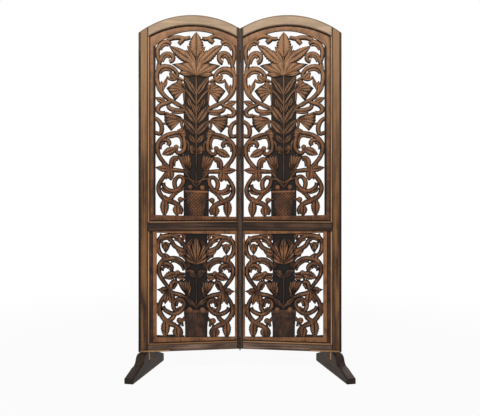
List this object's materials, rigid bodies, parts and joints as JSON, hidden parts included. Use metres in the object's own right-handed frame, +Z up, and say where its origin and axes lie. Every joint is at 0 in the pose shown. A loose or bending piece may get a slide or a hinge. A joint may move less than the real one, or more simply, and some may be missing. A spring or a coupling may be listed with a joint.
{
  "type": "folding room divider",
  "caption": "Folding room divider of arched wooden panels, pierced and carved with leafy scrolls and a vase of flowers, joined by butt hinges and standing on splayed feet.",
  "frame": {"origin": "on the floor, midway between the feet", "axes": "+Z up, +X to the right across the screen, front faces -Y"},
  "size_m": [1.1182, 0.439, 1.84],
  "materials": {
    "frame_wood": "brown stain with darkened edges under satin wax",
    "carved_wood": "carved relief, burnt dark in the hollows and rubbed paler on the tops",
    "dark_wood": "dark brown stain, satin",
    "pale_wood": "lightly oiled",
    "hinge_steel": "browned, dull",
    "plate_steel": "zinc plated, dull",
    "screw_steel": "zinc plated"
  },
  "bodies": {
    "left_panel": {"hinge_pin_bottom": "hinge_steel", "hinge_pin_middle": "hinge_steel", "hinge_pin_top": "hinge_steel", "left_arched_top_rail": "frame_wood", "left_bottom_rail": "frame_wood", "left_edge_plate_screws": "screw_steel", "left_edge_plates": "plate_steel", "left_foot": "dark_wood", "left_foot_cleat": "pale_wood", "left_foot_screws": "screw_steel", "left_foot_tongue": "dark_wood", "left_hinge_leaf_bottom": "hinge_steel", "left_hinge_leaf_middle": "hinge_steel", "left_hinge_leaf_top": "hinge_steel", "left_hinge_screws": "screw_steel", "left_lower_carved_panel": "carved_wood", "left_lower_side_bead": "frame_wood", "left_lower_sill_bead": "frame_wood", "left_meeting_stile": "frame_wood", "left_mid_rail": "frame_wood", "left_outer_stile": "frame_wood", "left_upper_carved_panel": "carved_wood", "left_upper_side_bead": "frame_wood", "left_upper_sill_bead": "frame_wood"},
    "right_panel": {"right_arched_top_rail": "frame_wood", "right_bottom_rail": "frame_wood", "right_edge_plate_screws": "screw_steel", "right_edge_plates": "plate_steel", "right_foot": "dark_wood", "right_foot_cleat": "pale_wood", "right_foot_screws": "screw_steel", "right_foot_tongue": "dark_wood", "right_hinge_leaf_bottom": "hinge_steel", "right_hinge_leaf_middle": "hinge_steel", "right_hinge_leaf_top": "hinge_steel", "right_hinge_screws": "screw_steel", "right_lower_carved_panel": "carved_wood", "right_lower_side_bead": "frame_wood", "right_lower_sill_bead": "frame_wood", "right_meeting_stile": "frame_wood", "right_mid_rail": "frame_wood", "right_outer_stile": "frame_wood", "right_upper_carved_panel": "carved_wood", "right_upper_side_bead": "frame_wood", "right_upper_sill_bead": "frame_wood"}
  },
  "joints": [
    {"name": "fold", "type": "hinge", "parent": "left_panel", "child": "right_panel", "pos_m": [0, 0.05413, 0], "axis": [0, 0, 1], "range_deg": [-115, 16]}
  ]
}
